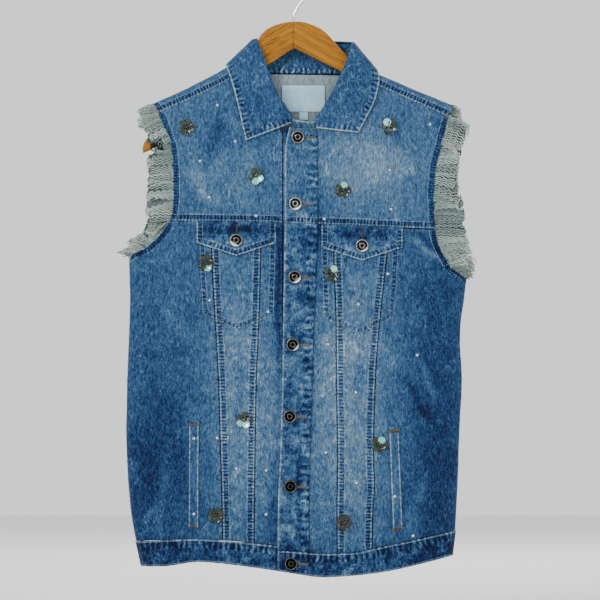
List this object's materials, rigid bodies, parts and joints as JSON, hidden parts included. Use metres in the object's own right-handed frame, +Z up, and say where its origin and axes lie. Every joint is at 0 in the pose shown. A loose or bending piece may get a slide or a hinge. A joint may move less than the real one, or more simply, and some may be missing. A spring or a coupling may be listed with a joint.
{
  "type": "denim vest on a wooden hanger",
  "caption": "Sleeveless denim vest with a pointed collar, flapped chest pockets and frayed armholes, buttoned and hung on a wooden hanger.",
  "frame": {"origin": "where the inside of the hook's top bears on a rail", "axes": "+Z up, the front of the vest faces -Y, +X to the right of a person who looks at the front"},
  "size_m": [0.449, 0.0589, 0.7852],
  "materials": {
    "denim": "washed twill, faded along seams and edges",
    "fringe": "frayed cotton yarn",
    "satin": "woven satin, bare",
    "button_metal": "aged nickel, worn bright on its rings",
    "wood": "clear varnish",
    "hook_steel": "polished wire",
    "sequin": "translucent film with a green glint",
    "thread": "cotton sewing thread, faded",
    "rhinestone": "cut and foiled"
  },
  "bodies": {
    "root": {"back_panel": "denim", "back_yoke": "denim", "band_back": "denim", "band_front_left": "denim", "band_front_right": "denim", "button_flap_left": "button_metal", "button_flap_right": "button_metal", "button_front_1": "button_metal", "button_front_2": "button_metal", "button_front_3": "button_metal", "button_front_4": "button_metal", "button_front_5": "button_metal", "button_front_6": "button_metal", "button_hem": "button_metal", "centre_front_left": "denim", "centre_front_right": "denim", "collar_fall": "denim", "collar_stand": "denim", "fringe_back_left": "fringe", "fringe_back_right": "fringe", "fringe_front_left": "fringe", "fringe_front_right": "fringe", "front_yoke_left": "denim", "front_yoke_right": "denim", "hanger": "wood", "hook": "hook_steel", "label_main": "satin", "label_size": "satin", "middle_front_left": "denim", "middle_front_right": "denim", "placket": "denim", "placket_under": "denim", "pocket_bag_left": "denim", "pocket_bag_right": "denim", "pocket_flap_left": "denim", "pocket_flap_right": "denim", "side_front_left": "denim", "side_front_right": "denim", "welt_left": "denim", "welt_right": "denim"}
  },
  "joints": []
}
